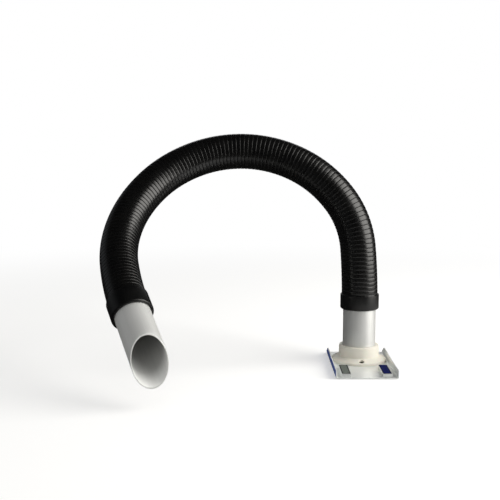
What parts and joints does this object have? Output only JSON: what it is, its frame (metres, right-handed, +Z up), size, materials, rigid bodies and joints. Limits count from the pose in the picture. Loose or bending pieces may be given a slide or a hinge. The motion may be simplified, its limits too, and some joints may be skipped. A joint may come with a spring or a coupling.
{
  "type": "fume extraction arm",
  "caption": "Bench fume extraction arm: a ribbed stay-put hose arches from a swivelling upright tube on a bright channel-shaped base plate to an obliquely cut metal suction nozzle.",
  "frame": {"origin": "the middle of the base plate's underside", "axes": "+Z up, the arm arches over to -X, and the plate's front edge and the nozzle are towards -Y"},
  "size_m": [0.4289, 0.3281, 0.3501],
  "materials": {
    "bright_metal": "polished",
    "anodised": "satin",
    "white_plastic": "satin",
    "black_hose": "semi-gloss",
    "black_rubber": "matte",
    "grey_pad": "satin",
    "blue_pad": "satin",
    "dark_steel": "satin"
  },
  "bodies": {
    "base": {"base_plate": "bright_metal", "bar_tray_left": "bright_metal", "bar_tray_right": "bright_metal", "bar_pad_left": "grey_pad", "bar_pad_right": "blue_pad", "flange": "white_plastic", "flange_screw_1": "dark_steel", "flange_screw_2": "dark_steel", "flange_screw_3": "dark_steel", "collar_seal": "black_rubber"},
    "upright": {"base_tube": "anodised", "base_cuff": "black_rubber", "hose_1": "black_hose"},
    "hose_length_2": {"hose_2": "black_hose"},
    "hose_length_3": {"hose_3": "black_hose"},
    "hose_length_4": {"hose_4": "black_hose"},
    "hose_length_5": {"hose_5": "black_hose"},
    "hose_length_6": {"hose_6": "black_hose"},
    "hose_length_7": {"hose_7": "black_hose"},
    "hose_length_8": {"hose_8": "black_hose"},
    "hose_tip": {"hose_9": "black_hose", "nozzle_cuff": "black_rubber"},
    "nozzle": {"nozzle_tube": "anodised"}
  },
  "joints": [
    {"name": "base_swivel", "type": "hinge", "parent": "base", "child": "upright", "pos_m": [0, 0.028, 0], "axis": [0, 0, 1], "range_deg": [-180, 180]},
    {"name": "lower_bend", "type": "hinge", "parent": "upright", "child": "hose_length_2", "pos_m": [-0.00335, 0.03005, 0.17622], "axis": [-0.3099, -0.9505, 0.0224], "range_deg": [-26, 2], "deforming": ["hose_2"]},
    {"name": "lower_bend_2", "type": "hinge", "parent": "hose_length_2", "child": "hose_length_3", "pos_m": [-0.03171, 0.04106, 0.25101], "axis": [-0.1275, -0.9775, 0.1682], "range_deg": [-26, 2], "deforming": ["hose_3"]},
    {"name": "lower_bend_3", "type": "hinge", "parent": "hose_length_3", "child": "hose_length_4", "pos_m": [-0.0928, 0.05778, 0.30186], "axis": [-0.0113, -0.9264, 0.3763], "range_deg": [-26, 2], "deforming": ["hose_4"]},
    {"name": "sway", "type": "hinge", "parent": "hose_length_4", "child": "hose_length_5", "pos_m": [-0.17079, 0.06717, 0.32264], "axis": [0.057, -0.002, 0.9984], "range_deg": [-18, 18], "deforming": ["hose_5"]},
    {"name": "sway_2", "type": "hinge", "parent": "hose_length_5", "child": "hose_length_6", "pos_m": [-0.25069, 0.05876, 0.31149], "axis": [-0.3138, -0.0811, 0.946], "range_deg": [-18, 18], "deforming": ["hose_6"]},
    {"name": "upper_bend", "type": "hinge", "parent": "hose_length_6", "child": "hose_length_7", "pos_m": [-0.31497, 0.02734, 0.27332], "axis": [-0.1464, -0.663, 0.7342], "range_deg": [-26, 8], "deforming": ["hose_7"]},
    {"name": "upper_bend_2", "type": "hinge", "parent": "hose_length_7", "child": "hose_length_8", "pos_m": [-0.35081, -0.02308, 0.22065], "axis": [-0.2047, -0.645, 0.7362], "range_deg": [-26, 8], "deforming": ["hose_8"]},
    {"name": "upper_bend_3", "type": "hinge", "parent": "hose_length_8", "child": "hose_tip", "pos_m": [-0.35308, -0.08386, 0.16677], "axis": [-0.2713, -0.6441, 0.7152], "range_deg": [-26, 8], "deforming": ["hose_9"]},
    {"name": "nozzle_swivel", "type": "hinge", "parent": "hose_tip", "child": "nozzle", "pos_m": [-0.33131, -0.14638, 0.11873], "axis": [0.3458, -0.7587, -0.5521], "continuous": true}
  ],
  "couplings": [
    {"joint": "lower_bend_2", "follows": "lower_bend", "ratio": 1},
    {"joint": "lower_bend_3", "follows": "lower_bend", "ratio": 1},
    {"joint": "sway_2", "follows": "sway", "ratio": 1},
    {"joint": "upper_bend_2", "follows": "upper_bend", "ratio": 1},
    {"joint": "upper_bend_3", "follows": "upper_bend", "ratio": 1}
  ]
}
